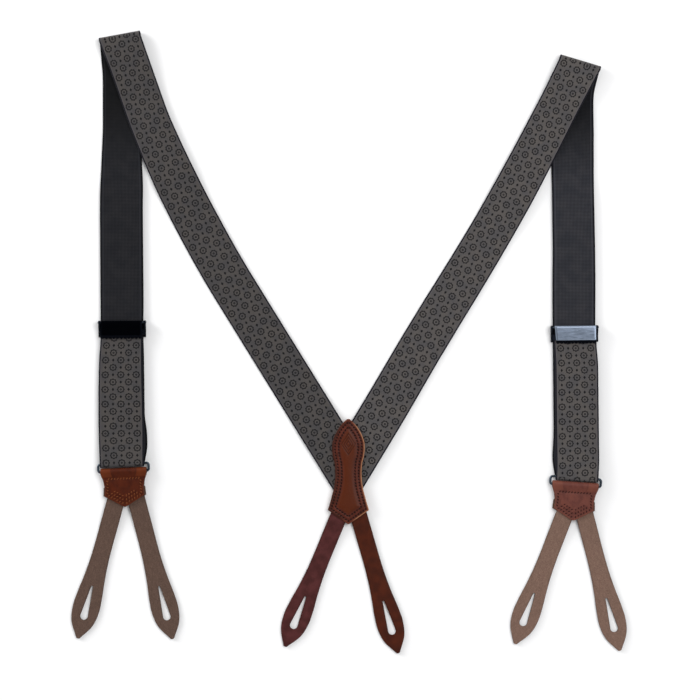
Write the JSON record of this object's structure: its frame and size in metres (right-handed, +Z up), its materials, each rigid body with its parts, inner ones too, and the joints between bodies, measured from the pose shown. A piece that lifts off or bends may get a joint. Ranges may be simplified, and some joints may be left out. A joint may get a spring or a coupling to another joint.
{
  "type": "button suspenders",
  "caption": "Y-back trouser suspenders of patterned elastic webbing laid flat, with leather back patch, sliding adjusters, wire rings and leather button strips.",
  "frame": {"origin": "on the table under the middle of the bounding box, with the suspenders laid flat", "axes": "+Z up from the table, +Y from the button strips towards the shoulder folds, +X towards the right-hand strap as seen from above"},
  "size_m": [0.4568, 0.5126, 0.0064],
  "materials": {
    "webbing": "matte",
    "cognac_leather": "satin",
    "strip_grain": "satin",
    "strip_suede": "matte",
    "gunmetal": "satin",
    "thread": "matte"
  },
  "bodies": {
    "back": {"back_patch_outer": "cognac_leather", "back_patch_lining": "cognac_leather", "back_patch_stitching": "thread", "left_back_strap": "webbing", "right_back_strap": "webbing", "left_shoulder_fold": "webbing", "right_shoulder_fold": "webbing", "back_left_strip_root": "strip_grain", "back_right_strip_root": "strip_grain"},
    "back_left_strip": {"back_left_strip": "strip_grain"},
    "back_right_strip": {"back_right_strip": "strip_grain"},
    "left_front": {"left_front_strap": "webbing", "left_strap_leg": "webbing"},
    "left_turn": {"left_ring_turn": "webbing", "left_return_strap": "webbing"},
    "left_adjuster": {"left_adjuster_frame": "gunmetal", "left_adjuster_pin": "gunmetal", "left_strap_end_crimp": "gunmetal"},
    "left_lever": {"left_adjuster_lever": "gunmetal"},
    "left_ring": {"left_ring": "gunmetal"},
    "left_tab": {"left_tab": "cognac_leather", "left_tab_stitching": "thread", "left_outer_strip_root": "strip_suede", "left_inner_strip_root": "strip_suede"},
    "left_outer_strip": {"left_outer_strip": "strip_suede"},
    "left_inner_strip": {"left_inner_strip": "strip_suede"},
    "right_front": {"right_front_strap": "webbing", "right_strap_leg": "webbing"},
    "right_turn": {"right_ring_turn": "webbing", "right_return_strap": "webbing"},
    "right_adjuster": {"right_adjuster_frame": "gunmetal", "right_adjuster_pin": "gunmetal", "right_strap_end_crimp": "gunmetal"},
    "right_lever": {"right_adjuster_lever": "gunmetal"},
    "right_ring": {"right_ring": "gunmetal"},
    "right_tab": {"right_tab": "cognac_leather", "right_tab_stitching": "thread", "right_outer_strip_root": "strip_suede", "right_inner_strip_root": "strip_suede"},
    "right_outer_strip": {"right_outer_strip": "strip_suede"},
    "right_inner_strip": {"right_inner_strip": "strip_suede"}
  },
  "joints": [
    {"name": "back_left_strip_flex", "type": "hinge", "parent": "back", "child": "back_left_strip", "pos_m": [-0.01103, -0.14954, 0.00166], "axis": [-0.9245, 0.3811, 0], "range_deg": [0, 60], "deforming": ["back_left_strip_root"]},
    {"name": "back_right_strip_flex", "type": "hinge", "parent": "back", "child": "back_right_strip", "pos_m": [0.01026, -0.15102, 0.00166], "axis": [-0.9608, -0.2773, 0], "range_deg": [0, 60], "deforming": ["back_right_strip_root"]},
    {"name": "left_shoulder_fold", "type": "hinge", "parent": "back", "child": "left_front", "pos_m": [-0.18847, 0.25018, 0.003], "axis": [0.9837, 0.1797, 0], "range_deg": [0, 180], "deforming": ["left_shoulder_fold"]},
    {"name": "left_ring_slide", "type": "slide", "parent": "left_front", "child": "left_turn", "axis": [-0.0079, 1, 0], "range_m": [-0.035, 0.0475], "deforming": ["left_strap_leg"]},
    {"name": "left_adjuster_slide", "type": "slide", "parent": "left_turn", "child": "left_adjuster", "axis": [-0.0079, 1, 0], "range_m": [-0.035, 0.0475], "deforming": ["left_return_strap"]},
    {"name": "left_lever_hinge", "type": "hinge", "parent": "left_adjuster", "child": "left_lever", "pos_m": [-0.18663, 0.01608, 0.005], "axis": [-1, -0.0079, 0], "range_deg": [0, 100]},
    {"name": "left_ring_swing", "type": "hinge", "parent": "left_turn", "child": "left_ring", "pos_m": [-0.18572, -0.10021, 0.00275], "axis": [0.999, 0.0436, 0], "range_deg": [-90, 90]},
    {"name": "left_tab_swing", "type": "hinge", "parent": "left_ring", "child": "left_tab", "pos_m": [-0.18544, -0.10661, 0.00275], "axis": [0.999, 0.0436, 0], "range_deg": [-90, 90]},
    {"name": "left_outer_strip_flex", "type": "hinge", "parent": "left_tab", "child": "left_outer_strip", "pos_m": [-0.19406, -0.13843, 0.00211], "axis": [-0.9636, 0.2672, 0], "range_deg": [0, 60], "deforming": ["left_outer_strip_root"]},
    {"name": "left_inner_strip_flex", "type": "hinge", "parent": "left_tab", "child": "left_inner_strip", "pos_m": [-0.17267, -0.13845, 0.00211], "axis": [-0.9681, -0.2504, 0], "range_deg": [0, 60], "deforming": ["left_inner_strip_root"]},
    {"name": "right_shoulder_fold", "type": "hinge", "parent": "back", "child": "right_front", "pos_m": [0.19042, 0.22864, 0.003], "axis": [0.9576, -0.2882, 0], "range_deg": [0, 180], "deforming": ["right_shoulder_fold"]},
    {"name": "right_ring_slide", "type": "slide", "parent": "right_front", "child": "right_turn", "axis": [-0.0105, 0.9999, 0], "range_m": [-0.035, 0.0475], "deforming": ["right_strap_leg"]},
    {"name": "right_adjuster_slide", "type": "slide", "parent": "right_turn", "child": "right_adjuster", "axis": [-0.0105, 0.9999, 0], "range_m": [-0.035, 0.0475], "deforming": ["right_return_strap"]},
    {"name": "right_lever_hinge", "type": "hinge", "parent": "right_adjuster", "child": "right_lever", "pos_m": [0.18538, 0.01208, 0.005], "axis": [-0.9999, -0.0105, 0], "range_deg": [0, 100]},
    {"name": "right_ring_swing", "type": "hinge", "parent": "right_turn", "child": "right_ring", "pos_m": [0.18668, -0.11171, 0.00275], "axis": [0.9976, -0.0698, 0], "range_deg": [-90, 90]},
    {"name": "right_tab_swing", "type": "hinge", "parent": "right_ring", "child": "right_tab", "pos_m": [0.18623, -0.1181, 0.00275], "axis": [0.9976, -0.0698, 0], "range_deg": [-90, 90]},
    {"name": "right_outer_strip_flex", "type": "hinge", "parent": "right_tab", "child": "right_outer_strip", "pos_m": [0.19544, -0.14815, 0.00211], "axis": [-0.9677, -0.2521, 0], "range_deg": [0, 60], "deforming": ["right_outer_strip_root"]},
    {"name": "right_inner_strip_flex", "type": "hinge", "parent": "right_tab", "child": "right_inner_strip", "pos_m": [0.17569, -0.14628, 0.00211], "axis": [-0.9342, 0.3567, 0], "range_deg": [0, 60], "deforming": ["right_inner_strip_root"]}
  ],
  "couplings": [
    {"joint": "left_ring_slide", "follows": "left_adjuster_slide", "ratio": 1},
    {"joint": "right_ring_slide", "follows": "right_adjuster_slide", "ratio": 1}
  ]
}
